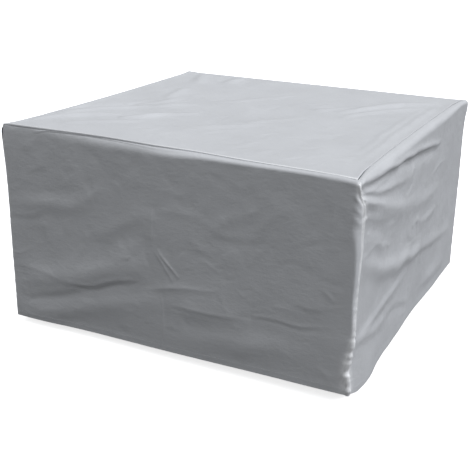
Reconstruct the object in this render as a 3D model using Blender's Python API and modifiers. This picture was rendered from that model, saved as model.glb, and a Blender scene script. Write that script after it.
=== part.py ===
"""A fitted cover for a square set of garden furniture, sewn from five panels of coated cloth.

Sizes are in metres and +Z is up. The cover hangs on the furniture: the origin is the middle of the
underside of its top, and the front faces -Y. Each side panel rolls over the top edge to a seam
that lies on the top, and meets its neighbours in seams at the four corners.
"""

import math

import bmesh
import bpy
import numpy as np

# The cover as it hangs.
WIDTH = 1.35  # left to right, outside
DEPTH = 1.35  # front to back, outside
DROP = 0.735  # from the top to the hem
CLOTH = 0.002  # thickness of the coated cloth
EDGE_ROLL = 0.014  # radius in which a side panel rolls over the top edge
SEAM_INSET = 0.012  # the least width of the strip between the rolled edge and the top seam
SEAM_CORNER = 0.003  # radius of the corner where two side panels and the top panel meet
SEAM_GAP = 0.0003  # between the panels that a seam joins
SEAM_ALLOWANCE = math.radians(6)  # turn of the narrow column beside a corner seam
SEAM_STIFF = 0.03  # width beside a seam over which the folds die out
CORNER_OPENS = 0.10  # depth at which a corner is at its loosest
CORNER_CLOSES = 0.17  # depth at which it starts to close towards its radius lower down
CORNER_CLOSED = 0.30  # depth from which it keeps that radius down to the hem

# The steps of each panel's grid, and the share of its faces that stay where it is thinned.
FLAT_STEPS = 76  # across the flat of a panel
DROP_STEPS = 46  # from the rolled edge to the hem
ROLL_STEPS = 4  # round the rolled edge
CORNER_STEP = math.radians(15)  # round a corner of the cover
CREASE_STEPS = 12  # along the line of a fold
KEPT_FACES = {"top_panel": 0.07, "front_panel": 0.26, "right_panel": 0.25,
              "back_panel": 0.11, "left_panel": 0.11}

FOLD_TAPER = 0.6  # how soon a fold reaches its full height from its ends
LAP_SHAPE = math.sqrt(math.e)  # makes the two sides of a lap as high as its stated size

SILVER_CLOTH = (0.50, 0.51, 0.53, 1.0)  # base colour
CLOTH_ROUGHNESS = 0.55
CLOTH_METALLIC = 0.15

# Each corner, going round from the front left: its radius at the top, where it is loosest and
# lower down, and how far round it the seam runs, in degrees from the panel before it.
CORNERS = (
    # name, top, loosest, low, seam turn
    ("front_left", 0.012, 0.012, 0.010, 45),
    ("front_right", 0.012, 0.038, 0.011, 90),
    ("back_right", 0.012, 0.012, 0.010, 45),
    ("back_left", 0.014, 0.018, 0.016, 45),
)

# Each side panel: the way it runs, seen from outside from left to right, and the way it faces.
SIDES = (
    # name, run, facing, length, reach of its face from the middle
    ("front_panel", (1, 0), (0, -1), WIDTH, DEPTH / 2),
    ("right_panel", (0, 1), (1, 0), DEPTH, WIDTH / 2),
    ("back_panel", (-1, 0), (0, 1), WIDTH, DEPTH / 2),
    ("left_panel", (0, -1), (-1, 0), DEPTH, WIDTH / 2),
)

# How far a seam on the top moves in past the least inset, along the panel from its left end.
SEAM_CURVE = {
    "front_panel": ((0.0, 0.0), (0.35, 0.018), (0.70, 0.014), (1.00, 0.006), (1.35, 0.0)),
    "right_panel": ((0.0, 0.0), (1.35, 0.0)),
    "back_panel": ((0.0, 0.0), (1.35, 0.0)),
    "left_panel": ((0.0, 0.0), (1.35, 0.0)),
}

# How far the hem is drawn up, along each panel from its left end.
HEM_LIFT = {
    "front_panel": ((0.0, -0.002), (0.45, 0.000), (0.80, 0.005), (1.35, 0.010)),
    "right_panel": ((0.0, 0.010), (0.08, -0.008), (0.60, -0.003), (1.35, -0.002)),
    "back_panel": ((0.0, -0.002), (0.40, -0.006), (0.95, 0.004), (1.35, 0.000)),
    "left_panel": ((0.0, 0.000), (0.50, 0.006), (1.00, -0.003), (1.35, -0.002)),
}

# Folds of each side panel, each from its left end to its right end or, if upright, from its top.
# A place is along the panel from its left end and down from the top edge. The rise is how far the
# fold stands out on its line, the lap how far the cloth above the line stands out and the cloth
# below it in. The last two are the widths of the flanks above and below the line.
FOLDS = {
    "front_panel": (
        # start, middle, end, rise, lap, above, below
        ((0.08, 0.645), (0.34, 0.552), (0.62, 0.455), 0.000, 0.010, 0.026, 0.022),
        ((0.04, 0.580), (0.30, 0.530), (0.58, 0.420), 0.009, 0.000, 0.055, 0.024),
        ((0.05, 0.730), (0.30, 0.690), (0.66, 0.590), 0.007, 0.000, 0.045, 0.030),
        ((0.00, 0.290), (0.22, 0.268), (0.44, 0.190), 0.005, 0.000, 0.026, 0.015),
        ((0.00, 0.372), (0.06, 0.345), (0.15, 0.310), 0.000, 0.003, 0.018, 0.014),
        ((0.38, 0.385), (0.48, 0.300), (0.62, 0.230), 0.004, 0.000, 0.022, 0.022),
        ((0.64, 0.385), (0.68, 0.415), (0.72, 0.445), 0.004, 0.000, 0.012, 0.010),
        ((0.72, 0.205), (0.79, 0.222), (0.86, 0.255), 0.005, 0.000, 0.018, 0.020),
        ((0.87, 0.255), (0.93, 0.205), (1.01, 0.145), 0.004, 0.000, 0.020, 0.020),
        ((0.86, 0.258), (0.92, 0.270), (1.00, 0.262), 0.000, 0.003, 0.015, 0.014),
        ((1.00, 0.250), (1.03, 0.190), (1.13, 0.100), 0.003, 0.000, 0.016, 0.018),
        ((0.62, 0.595), (0.79, 0.558), (0.96, 0.546), 0.000, 0.006, 0.020, 0.018),
        ((0.97, 0.532), (1.08, 0.521), (1.24, 0.516), 0.000, 0.006, 0.020, 0.018),
        ((0.70, 0.680), (0.95, 0.645), (1.24, 0.630), 0.005, 0.000, 0.035, 0.025),
        ((0.655, 0.56), (0.656, 0.63), (0.652, 0.72), 0.003, 0.000, 0.012, 0.012),
    ),
    "right_panel": (
        # start, middle, end, rise, lap, above, below
        ((0.06, 0.032), (0.50, 0.052), (1.02, 0.102), 0.000, 0.008, 0.020, 0.020),
        ((0.07, 0.068), (0.38, 0.095), (0.66, 0.135), 0.006, 0.000, 0.014, 0.014),
        ((0.06, 0.085), (0.30, 0.178), (0.74, 0.300), 0.012, 0.000, 0.028, 0.032),
        ((0.07, 0.225), (0.25, 0.280), (0.46, 0.340), 0.005, 0.000, 0.028, 0.022),
        ((0.07, 0.320), (0.42, 0.420), (1.05, 0.525), 0.012, 0.000, 0.034, 0.034),
        ((0.08, 0.568), (0.25, 0.560), (0.52, 0.535), 0.005, 0.000, 0.020, 0.018),
        ((0.09, 0.660), (0.22, 0.695), (0.40, 0.725), 0.006, 0.000, 0.028, 0.022),
        ((0.38, 0.620), (0.55, 0.642), (0.76, 0.665), 0.000, 0.004, 0.022, 0.020),
        ((0.76, 0.375), (0.94, 0.385), (1.18, 0.445), 0.005, 0.000, 0.016, 0.032),
        ((0.82, 0.662), (0.98, 0.680), (1.20, 0.690), 0.003, 0.000, 0.024, 0.020),
    ),
    "back_panel": (
        # start, middle, end, rise, lap, above, below
        ((0.05, 0.120), (0.40, 0.300), (0.80, 0.400), 0.009, 0.000, 0.040, 0.035),
        ((0.86, 0.430), (1.05, 0.250), (1.30, 0.100), 0.007, 0.000, 0.035, 0.030),
        ((0.10, 0.600), (0.55, 0.560), (1.10, 0.620), 0.000, 0.006, 0.030, 0.026),
        ((0.50, 0.420), (0.52, 0.560), (0.45, 0.700), 0.006, 0.000, 0.034, 0.034),
    ),
    "left_panel": (
        # start, middle, end, rise, lap, above, below
        ((0.05, 0.090), (0.30, 0.240), (0.62, 0.330), 0.010, 0.000, 0.040, 0.034),
        ((0.70, 0.370), (1.00, 0.280), (1.30, 0.110), 0.007, 0.000, 0.036, 0.030),
        ((0.20, 0.640), (0.66, 0.545), (1.15, 0.570), 0.000, 0.006, 0.028, 0.024),
        ((0.88, 0.480), (0.86, 0.600), (0.90, 0.700), 0.005, 0.000, 0.034, 0.034),
    ),
}

# Folds of the top, from its left edge and from its back edge. Above means towards the back.
TOP_FOLDS = (
    # start, middle, end, rise, lap, above, below
    ((0.97, 0.450), (1.11, 0.305), (1.25, 0.130), 0.006, 0.000, 0.050, 0.024),
    ((1.05, 0.520), (1.16, 0.420), (1.26, 0.270), 0.003, 0.000, 0.022, 0.020),
    ((0.12, 1.160), (0.33, 0.965), (0.54, 0.800), 0.005, 0.000, 0.040, 0.022),
    ((0.12, 0.060), (0.14, 0.160), (0.19, 0.270), 0.003, 0.000, 0.022, 0.020),
    ((0.30, 0.060), (0.31, 0.130), (0.30, 0.210), 0.003, 0.000, 0.022, 0.020),
)

# Places where the whole cover is pulled out of true: loose corners, a pinch, a flared hem.
PULLS = (
    # x, y, z, how far it moves in x, y and z, and the spread of the pull across and down
    (-0.675, -0.675, 0.000, -0.010, -0.003, 0.002, 0.045, 0.160),
    (-0.675, -0.675, 0.000, 0.000, 0.000, 0.009, 0.500, 0.300),
    (0.675, 0.675, -0.020, 0.006, 0.010, 0.001, 0.040, 0.050),
    (0.675, -0.675, 0.000, -0.003, 0.000, -0.005, 0.050, 0.050),
    (0.675, -0.640, -0.062, -0.008, 0.004, 0.000, 0.026, 0.026),
    (0.675, -0.500, -0.735, 0.010, 0.000, 0.000, 0.130, 0.130),
    (-0.675, 0.675, -0.010, -0.006, 0.007, 0.002, 0.045, 0.100),
    (-0.300, -0.675, -0.735, 0.000, 0.006, 0.000, 0.220, 0.220),
    (0.675, 0.100, -0.735, -0.006, 0.000, 0.000, 0.200, 0.220),
    (0.200, 0.675, -0.735, 0.000, 0.012, 0.000, 0.250, 0.250),
    (-0.675, -0.100, -0.735, -0.010, 0.000, 0.000, 0.250, 0.250),
)


def eased(share):
    """0 to 1 with a soft start and end."""
    share = np.clip(share, 0.0, 1.0)
    return share * share * (3 - 2 * share)


def along_curve(curve, place):
    """The value at a place on a curve of (place, value) rows, eased from row to row."""
    value = np.full_like(place, curve[0][1])
    for (start, low), (end, high) in zip(curve, curve[1:]):
        value += (high - low) * eased((place - start) / (end - start))
    return value


def fold_height(folds, along, down):
    """How far the folds lift each point of a panel off its plain form."""
    point = np.stack([along, down], axis=-1)
    height = np.zeros_like(along)
    share = np.linspace(0, 1, CREASE_STEPS + 1)[:, None]
    for start, middle, end, rise, lap, above, below in folds:
        line = (
            np.multiply(start, (1 - share) * (1 - 2 * share))
            + np.multiply(middle, 4 * share * (1 - share))
            + np.multiply(end, share * (2 * share - 1))
        )
        nearest = np.full_like(along, np.inf)
        under = np.zeros_like(along)
        place = np.zeros_like(along)
        for step in range(CREASE_STEPS):
            run = line[step + 1] - line[step]
            part = np.clip((point - line[step]) @ run / (run @ run), 0, 1)
            offset = point - line[step] - part[..., None] * run
            distance = np.linalg.norm(offset, axis=-1)
            closer = distance < nearest
            turned = np.sign(run[0] * offset[..., 1] - run[1] * offset[..., 0])
            nearest = np.where(closer, distance, nearest)
            under = np.where(closer, turned, under)
            place = np.where(closer, (step + part) / CREASE_STEPS, place)
        across = nearest / np.where(under < 0, above, below)
        taper = np.sin(math.pi * place) ** FOLD_TAPER
        form = rise - lap * LAP_SHAPE * under * across
        height += form * np.exp(-across * across / 2) * taper
    return height


def pulled(points):
    """The points with the cover's pulls added, so that panels which meet move together."""
    moved = points.copy()
    for x, y, z, in_x, in_y, in_z, across, down in PULLS:
        far = np.sum(((points - (x, y, z)) / (across, across, down)) ** 2, axis=-1)
        moved += np.exp(-far)[..., None] * np.array((in_x, in_y, in_z))
    return moved


def corner_radius(corner, down):
    """The radius of a corner of the cover at each depth below the top."""
    top, loosest, low = CORNERS[corner % len(CORNERS)][1:4]
    opened = eased(down / CORNER_OPENS)
    closed = eased((down - CORNER_CLOSES) / (CORNER_CLOSED - CORNER_CLOSES))
    return top + (loosest - top) * opened + (low - loosest) * closed


def seam_turns(side):
    """How far a side panel runs round its left and its right corner."""
    before = math.radians(90 - CORNERS[side][4])
    after = math.radians(CORNERS[(side + 1) % len(CORNERS)][4])
    return before, after


def corner_turns(turn):
    """The angles of the columns from a corner seam to the flat of the panel."""
    if turn == 0:
        return np.array([])
    steps = round((turn - SEAM_ALLOWANCE) / CORNER_STEP)
    return np.append(turn, np.linspace(turn - SEAM_ALLOWANCE, 0, steps, endpoint=False))


def side_columns(side):
    """Each column's reach, from -1 to 1 over the flat of the panel, and its turn round a corner."""
    before, after = seam_turns(side)
    left, right = corner_turns(before), corner_turns(after)
    flat = np.linspace(-1, 1, FLAT_STEPS + 1)
    reach = np.concatenate([np.full(len(left), -1.0), flat, np.full(len(right), 1.0)])
    turn = np.concatenate([-left, np.zeros(len(flat)), right[::-1]])
    return reach, turn


def side_rows():
    """Each row's place in the strip on the top, its turn over the edge and its share of the drop."""
    rolls = np.linspace(0, math.pi / 2, ROLL_STEPS + 1)
    drops = np.linspace(0, 1, DROP_STEPS + 1)[1:]
    strip = np.concatenate([[1.0], np.zeros(len(rolls) + len(drops))])
    roll = np.concatenate([[0.0], rolls, np.full(len(drops), math.pi / 2)])
    drop = np.concatenate([[0.0], np.zeros(len(rolls)), drops])
    return strip[:, None], roll[:, None], drop[:, None]


def side_points(side):
    """A side panel's outer surface, a row for each line across it from the top seam to the hem."""
    name, run, facing, length, face = SIDES[side]
    reach, turn = side_columns(side)
    strip, roll, drop = side_rows()
    half = length / 2
    place = half * (1 + reach)
    inset = EDGE_ROLL * (1 - np.sin(roll)) + SEAM_INSET * strip
    hang = DROP - EDGE_ROLL - along_curve(HEM_LIFT[name], place)
    down = EDGE_ROLL * (1 - np.cos(roll)) + drop * hang

    left_radius = np.maximum(corner_radius(side, down) - inset, SEAM_CORNER)
    right_radius = np.maximum(corner_radius(side + 1, down) - inset, SEAM_CORNER)
    radius = np.where(turn < 0, left_radius, right_radius)
    left_end = inset + left_radius - half
    right_end = half - inset - right_radius
    along = left_end + (right_end - left_end) * place / length + radius * np.sin(turn)
    curve = strip * along_curve(SEAM_CURVE[name], place)
    outward = face - inset - curve - radius * (1 - np.cos(turn))

    before, after = seam_turns(side)
    from_left = along - left_end + left_radius * math.sin(before)
    from_right = right_end + right_radius * math.sin(after) - along
    dying = eased(down / SEAM_STIFF)
    for distance in (from_left, from_right):
        dying = dying * eased(distance / SEAM_STIFF)
    lift = fold_height(FOLDS[name], along + half, down) * dying
    along = along + lift * np.sin(turn) * np.sin(roll)
    outward = outward + lift * np.cos(turn) * np.sin(roll)
    x = along * run[0] + outward * facing[0]
    y = along * run[1] + outward * facing[1]
    z = CLOTH - down + lift * np.cos(roll)
    return pulled(np.stack([x, y, z], axis=-1))


def top_points():
    """The top panel's upper surface, a row for each line across it from the back to the front."""
    reach = np.linspace(-1, 1, FLAT_STEPS + 1)
    across, forward = np.meshgrid(reach, reach)
    half_x = WIDTH / 2 - EDGE_ROLL - SEAM_INSET
    half_y = DEPTH / 2 - EDGE_ROLL - SEAM_INSET
    curve = along_curve(SEAM_CURVE["front_panel"], WIDTH / 2 * (1 + across))
    x = across * half_x
    y = curve * np.clip(forward, 0, 1) ** 3 - forward * half_y
    dying = 1.0
    for distance in (half_x - x, half_x + x, half_y - y, half_y - curve + y):
        dying = dying * eased(distance / SEAM_STIFF)
    z = CLOTH + fold_height(TOP_FOLDS, x + WIDTH / 2, DEPTH / 2 - y) * dying
    blunted = (np.abs(across) == 1) & (np.abs(forward) == 1)
    x = x - np.where(blunted, across * SEAM_CORNER / 2, 0)
    y = y + np.where(blunted, forward * SEAM_CORNER / 2, 0)
    return pulled(np.stack([x, y, z], axis=-1))


def drawn_back(points):
    """The points with the outer edges drawn back along the cloth, to leave the gap of the seams."""
    lines = (
        (points[0], points[1]),
        (points[-1], points[-2]),
        (points[:, 0], points[:, 1]),
        (points[:, -1], points[:, -2]),
    )
    for edge, inner in lines:
        inward = inner - edge
        edge += inward / np.linalg.norm(inward, axis=-1)[:, None] * SEAM_GAP
    return points


def cloth_material():
    """Silver-grey coated cloth."""
    material = bpy.data.materials.new("silver_cloth")
    material.use_nodes = True
    shader = material.node_tree.nodes["Principled BSDF"]
    shader.inputs["Base Color"].default_value = SILVER_CLOTH
    shader.inputs["Roughness"].default_value = CLOTH_ROUGHNESS
    shader.inputs["Metallic"].default_value = CLOTH_METALLIC
    return material


def cloth_panel(name, points, material, collection):
    """A panel as one closed sheet: a grid laid on the points, thinned where flat, made solid."""
    rows, columns = points.shape[:2]
    mesh = bpy.data.meshes.new(name)
    grid = bmesh.new()
    bmesh.ops.create_grid(grid, x_segments=columns - 1, y_segments=rows - 1, size=1)
    seam_points = []
    for vertex in grid.verts:
        column = round((vertex.co.x + 1) / 2 * (columns - 1))
        row = round((1 - vertex.co.y) / 2 * (rows - 1))
        vertex.co = points[row, column]
        if row == 0 or column < 2 or column > columns - 3:
            seam_points.append(vertex.index)
    grid.to_mesh(mesh)
    grid.free()
    mesh.materials.append(material)
    mesh.shade_smooth()
    panel = bpy.data.objects.new(name, mesh)
    collection.objects.link(panel)

    open_cloth = panel.vertex_groups.new(name="open_cloth")
    open_cloth.add([vertex.index for vertex in mesh.vertices], 1.0, "REPLACE")
    open_cloth.add(seam_points, 0.0, "REPLACE")
    thinned = panel.modifiers.new("fewer faces where flat", "DECIMATE")
    thinned.ratio = KEPT_FACES[name]
    thinned.vertex_group = open_cloth.name
    solid = panel.modifiers.new("cloth thickness", "SOLIDIFY")
    solid.thickness = CLOTH
    solid.offset = -1
    solid.use_even_offset = True


def build_cover():
    for item in list(bpy.data.objects):
        bpy.data.objects.remove(item)
    collection = bpy.data.collections.new("furniture_cover")
    bpy.context.scene.collection.children.link(collection)
    material = cloth_material()
    cloth_panel("top_panel", drawn_back(top_points()), material, collection)
    for side, row in enumerate(SIDES):
        cloth_panel(row[0], drawn_back(side_points(side)), material, collection)


build_cover()
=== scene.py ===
"""Looks of a fitted patio furniture cover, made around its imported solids.

Metres, +Z up, front to -Y. The cover is five panels of coated cloth. Each one is a thin sheet laid
on the folds that its solid has, with the finer creases, seams and stitches of the real one.
"""

import math

import bpy
import numpy as np
from mathutils import Matrix, Vector


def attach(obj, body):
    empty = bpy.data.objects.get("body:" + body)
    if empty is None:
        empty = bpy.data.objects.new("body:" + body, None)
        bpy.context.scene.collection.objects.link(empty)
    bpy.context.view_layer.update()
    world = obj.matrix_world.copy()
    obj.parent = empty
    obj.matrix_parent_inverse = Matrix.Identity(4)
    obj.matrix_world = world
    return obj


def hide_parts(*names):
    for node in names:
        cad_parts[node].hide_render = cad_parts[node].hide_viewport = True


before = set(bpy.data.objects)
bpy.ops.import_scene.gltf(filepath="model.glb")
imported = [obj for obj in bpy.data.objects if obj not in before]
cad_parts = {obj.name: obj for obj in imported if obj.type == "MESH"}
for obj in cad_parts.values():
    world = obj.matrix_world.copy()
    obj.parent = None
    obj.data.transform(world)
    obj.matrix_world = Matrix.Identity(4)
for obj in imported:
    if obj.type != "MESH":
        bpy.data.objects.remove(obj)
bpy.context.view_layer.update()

# ------------------------------------------------------------------------------- top panel
# One square of polyester cloth, coated silver-grey on its outside. It is the first piece on the
# cutting table. Its edge is turned under all round and laps over the four side panels, so it
# stands a little proud of them along the front.

WIDTH = 1.35  # left to right, outside
DEPTH = 1.35  # front to back, outside
CLOTH = 0.0008  # thickness of the coated cloth as it is shown
CLOTH_FACE = 0.002  # height of the top's outer face
ROOM_AT_SEAM = 0.0001  # how far each folded edge stays back from the seam that joins it
SEAM_CORNER = 0.003  # radius of the corner where three panels meet

# How far in from the edge of the cover the top seams run, along each side from its left end.
SEAM_INSET = {
    "front_panel": ((0.0, 0.007), (0.04, 0.0055), (0.12, 0.0055), (0.24, 0.009), (0.42, 0.014),
                    (0.60, 0.017), (0.79, 0.0345), (0.97, 0.029), (1.14, 0.026), (1.28, 0.019),
                    (1.35, 0.017)),
    "right_panel": ((0.0, 0.017), (0.12, 0.028), (0.60, 0.036), (1.20, 0.032), (1.35, 0.020)),
    "back_panel": ((0.0, 0.020), (0.30, 0.026), (1.10, 0.026), (1.35, 0.020)),
    "left_panel": ((0.0, 0.020), (0.30, 0.026), (1.00, 0.024), (1.35, 0.007)),
}
# How high the top's lapped edge stands along the same sides, and how deep the seam beside it lies.
EDGE_STANDS = {
    "front_panel": ((0.0, 0.0015), (0.05, 0.0060), (0.42, 0.0064), (0.62, 0.0050), (0.81, 0.0024),
                    (0.98, 0.0014), (1.15, 0.0008), (1.35, 0.0008)),
    "right_panel": ((0.0, 0.0008), (0.03, 0.0018), (0.10, 0.0018), (0.18, 0.0006), (1.35, 0.0005)),
    "back_panel": ((0.0, 0.0012), (1.35, 0.0012)),
    "left_panel": ((0.0, 0.0012), (1.35, 0.0015)),
}
SEAM_SINKS = {
    "front_panel": ((0.0, 0.0015), (0.06, 0.0024), (0.24, 0.0010), (0.62, 0.0008), (0.81, 0.0014),
                    (0.98, 0.0012), (1.15, 0.0008), (1.35, 0.0008)),
    "right_panel": ((0.0, 0.0008), (0.03, 0.0036), (0.08, 0.0030), (0.16, 0.0006), (1.35, 0.0004)),
    "back_panel": ((0.0, 0.0008), (1.35, 0.0008)),
    "left_panel": ((0.0, 0.0008), (1.00, 0.0008), (1.35, 0.0015)),
}
EDGE_ROUNDS = 0.0028  # how far in from its edge the lap reaches its height
EDGE_DIES = 0.024  # how far in it has died out
LAP_HIGHLIGHT, LAP_HIGHLIGHT_AT, LAP_HIGHLIGHT_WIDTH = 0.8, 0.006, 0.004  # painted highlight on the nose of the front lap, in from its edge
TOP_GRAIN = 0.0071  # step of the grid on the open cloth
SEAM_GRAIN = 0.0005  # first step of the grid at a seam, as a share of the side
GRAIN_GROWS = 1.28  # from step to step, going in from the seam
TOP_OPENS = 0.03  # how far in from its seams the top's folds reach their height
TOP_SLACK = ((0.0010, 0.16), (0.0005, 0.06))  # height of its unevenness, and size of a lump
TOP_HANDLING = (220, (-60, -60, -40, -80))  # number of small creases, and their slants in degrees
TOP_CREASED = 1.7  # how much higher they are than on the side panels
TOP_STRAY_SIZE = 0.11  # length over which its folds wander
TOP_SEED = 10
FOLDS_STRAY = 0.006  # how far folds wander from their smooth lines
CREST_STEPS = 5  # straight steps along a crest for each of its points
FAN_PINCH = 0.34  # width of a fan's folds at their pinch, as a share of their full width
FAN_OPENS = 1.8  # how soon they have that width: 1 would be at their far end
FAN_RISES = 0.03  # share of their length over which they rise from the pinch

# Small creases that handling leaves, as ranges: half their length, their bow as a share of that,
# their width, their height, their lap as a share of the height, and their lower flank as a share
# of the width.
CREASE_REACH = (0.012, 0.060)
CREASE_BOW = (-0.3, 0.3)
CREASE_WIDTH = (0.005, 0.011)
CREASE_RISE = (0.0003, 0.0010)
CREASE_LAP = (-0.6, 0.6)
CREASE_UNDER = (0.6, 1.2)
CREASE_TURNS = 14  # degrees by which their slants vary
CREASE_MARGIN = 0.03  # how far from a panel's edges their middles stay

# Folds of the top, from its left edge and its back edge. Above is towards the back.
TOP_FOLDS = (
    # crest, rise, lap, above, below
    (((0.96, 0.530), (1.05, 0.385), (1.14, 0.265), (1.27, 0.145)), 0.0126, 0.0, 0.028, 0.014),
    (((1.00, 0.590), (1.105, 0.418), (1.24, 0.275)), 0.0084, 0.0, 0.016, 0.012),
    (((0.024, 1.227), (0.100, 1.135), (0.176, 1.064), (0.270, 0.990)), 0.0120, 0.0, 0.018, 0.012),
    (((0.290, 1.040), (0.353, 0.980), (0.397, 0.925), (0.500, 0.800)), 0.0120, 0.0, 0.018, 0.012),
    (((0.150, 1.220), (0.269, 1.132), (0.400, 1.035)), 0.0060, 0.0, 0.014, 0.012),
    (((0.090, 0.925), (0.178, 0.792), (0.275, 0.650)), -0.0064, 0.0, 0.014, 0.014),
    (((0.440, 0.600), (0.589, 0.437), (0.702, 0.275)), 0.0038, 0.0, 0.016, 0.012),
    (((0.660, 0.925), (0.793, 0.782), (0.880, 0.650)), 0.0036, 0.0, 0.016, 0.012),
    (((0.20, 0.790), (0.27, 0.665), (0.32, 0.590)), 0.0070, 0.0, 0.016, 0.012),
    (((0.28, 0.800), (0.35, 0.715), (0.41, 0.650)), 0.0070, 0.0, 0.016, 0.012),
    (((0.02, 1.030), (0.08, 0.890), (0.16, 0.790)), -0.0070, 0.0, 0.018, 0.018),
    (((0.040, 1.095), (0.138, 0.944), (0.275, 0.775)), 0.0084, 0.0, 0.014, 0.012),
    (((0.86, 0.530), (0.92, 0.480), (0.97, 0.420)), 0.0070, 0.0, 0.016, 0.012),
    (((0.12, 0.050), (0.15, 0.150), (0.19, 0.270)), 0.0084, 0.0, 0.022, 0.018),
    (((0.20, 0.380), (0.23, 0.500), (0.25, 0.650)), 0.0070, 0.0, 0.020, 0.016),
    (((0.31, 0.040), (0.31, 0.120), (0.30, 0.210)), 0.0084, 0.0, 0.022, 0.018),
    (((0.55, 1.060), (0.70, 0.930), (0.80, 0.830)), 0.0056, 0.0, 0.020, 0.016),
    (((1.275, 0.20), (1.268, 0.60), (1.272, 1.18)), 0.0042, 0.0, 0.012, 0.010),
    (((1.240, 0.30), (1.232, 0.66), (1.238, 1.10)), 0.0034, 0.0, 0.012, 0.010),
)

# Places where the whole cover is pulled out of true: loose corners, a pinch, a flared hem.
PULLS = (
    # place, how far the pull moves it, and the pull's spread across and down
    ((-0.675, -0.675, 0), (-0.010, -0.003, 0.002), (0.045, 0.160)),
    ((-0.675, -0.675, 0), (0, 0, 0.009), (0.500, 0.300)),
    ((-0.225, -0.675, 0), (0, 0, 0.007), (0.350, 0.080)),
    ((0.675, 0.675, -0.020), (0.006, 0.010, 0.001), (0.040, 0.050)),
    ((0.675, -0.675, 0), (-0.003, 0, -0.005), (0.050, 0.050)),
    ((0.675, -0.650, -0.048), (-0.007, 0.002, 0), (0.022, 0.018)),
    ((0.668, -0.646, 0), (0, 0, -0.005), (0.008, 0.030)),
    ((0.675, -0.675, -0.270), (0.003, 0, 0), (0.030, 0.070)),
    ((0.675, -0.675, -0.500), (0.003, 0, 0), (0.030, 0.050)),
    ((0.675, -0.675, -0.635), (-0.011, -0.003, 0), (0.030, 0.048)),
    ((0.675, -0.510, -0.735), (0.015, 0, 0), (0.120, 0.130)),
    ((-0.675, -0.675, -0.400), (-0.002, 0, 0), (0.060, 0.250)),
    ((-0.675, 0.675, -0.010), (-0.006, 0.007, 0.002), (0.045, 0.100)),
    ((-0.300, -0.675, -0.735), (0, 0.006, 0), (0.220, 0.220)),
    ((0.675, 0.100, -0.735), (-0.006, 0, 0), (0.200, 0.220)),
    ((0.200, 0.675, -0.735), (0, 0.012, 0), (0.250, 0.250)),
    ((-0.675, -0.100, -0.735), (-0.010, 0, 0), (0.250, 0.250)),
)


def eased(share):
    """0 to 1 with a soft start and end."""
    share = np.clip(share, 0.0, 1.0)
    return share * share * (3 - 2 * share)


def along_curve(curve, place):
    """The value at a place on a smooth curve through (place, value) rows, without overshoot."""
    at, value = np.array(curve).T
    gap, climb = np.diff(at), np.diff(value)
    rate = climb / gap
    product, slope = rate[:-1] * rate[1:], np.zeros_like(value)
    np.divide(2 * product, rate[:-1] + rate[1:], out=slope[1:-1], where=product > 0)
    row = np.clip(np.searchsorted(at, place, side="right") - 1, 0, len(gap) - 1)
    part = np.clip((place - at[row]) / gap[row], 0, 1)
    bend = (1 - part) * slope[row] * gap[row] - part * slope[row + 1] * gap[row]
    return value[row] + climb[row] * eased(part) + part * (1 - part) * bend


def smooth_line(points, steps):
    """A smooth line of steps + 1 points through a few points."""
    ends = [2 * np.array(points[0]) - points[1]], [2 * np.array(points[-1]) - points[-2]]
    padded = np.concatenate([ends[0], np.array(points, float), ends[1]])
    place = np.linspace(0, len(points) - 1, steps + 1)
    first = np.minimum(place.astype(int), len(points) - 2)
    part = (place - first)[:, None]
    a, b, c, d = (padded[first + k] for k in range(4))
    bend = (2 * a - 5 * b + 4 * c - d) * part**2 + (3 * b - a - 3 * c + d) * part**3
    return (2 * b + (c - a) * part + bend) / 2


def nearest_on(line, point):
    """Each point's distance from a line, its side, 1 below, and its place along it, 0 to 1."""
    nearest = np.full(point.shape[:-1], np.inf)
    under, place = np.zeros_like(nearest), np.zeros_like(nearest)
    steps = len(line) - 1
    for step in range(steps):
        run = line[step + 1] - line[step]
        part = np.clip((point - line[step]) @ run / (run @ run), 0, 1)
        offset = point - line[step] - part[..., None] * run
        distance = np.linalg.norm(offset, axis=-1)
        closer = distance < nearest
        turned = np.sign(run[0] * offset[..., 1] - run[1] * offset[..., 0])
        nearest = np.where(closer, distance, nearest)
        under = np.where(closer, turned, under)
        place = np.where(closer, (step + part) / steps, place)
    return nearest, under, place


def fold_height(folds, along, down, keen=2.0, taper=0.6, fan=False):
    """How far folds lift each point of a panel. A keen of 2 is round, and of 1 a sharp crease.
    A fan of folds starts narrow, at a pinch."""
    point = np.stack([along, down], axis=-1)
    height = np.zeros_like(along)
    for crest, rise, lap, above, below in folds:
        distance, under, place = nearest_on(smooth_line(crest, CREST_STEPS * len(crest)), point)
        across = distance / np.where(under < 0, above, below)
        if fan:
            spread = FAN_PINCH + (1 - FAN_PINCH) * eased(FAN_OPENS * place)
            across = across / spread
            fading = spread * eased(place / FAN_RISES) * np.cos(math.pi / 2 * place) ** taper
        else:
            fading = np.sin(math.pi * place) ** taper
        form = rise - lap * math.sqrt(math.e) * under * across
        height += form * np.exp(-(across**keen) / 2) * fading
    return height


LUMPS = 64  # drawn each way, before they repeat
FIRST_LUMP = 20  # the one at a panel's own corner


def lumps(along, down, size, seed):
    """Smooth unevenness from -1 to 1, with a lump about every size metres."""
    table = np.random.default_rng(seed).uniform(-1, 1, (LUMPS, LUMPS))
    across, below = along / size + FIRST_LUMP, down / size + FIRST_LUMP
    column, row = np.floor(across).astype(int), np.floor(below).astype(int)
    u, v = (share**3 * (6 * share**2 - 15 * share + 10) for share in (across - column, below - row))
    corner = [table[(row + j) % LUMPS, (column + i) % LUMPS] for j in (0, 1) for i in (0, 1)]
    upper = corner[0] + (corner[1] - corner[0]) * u
    lower = corner[2] + (corner[3] - corner[2]) * u
    return upper + (lower - upper) * v


def strayed(along, down, size, seed):
    """A panel's points moved a little, so that the folds laid on them wander."""
    aside = lumps(along, down, size, seed), lumps(along, down, size, seed + 1)
    return along + FOLDS_STRAY * aside[0], down + FOLDS_STRAY * aside[1]


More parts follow.
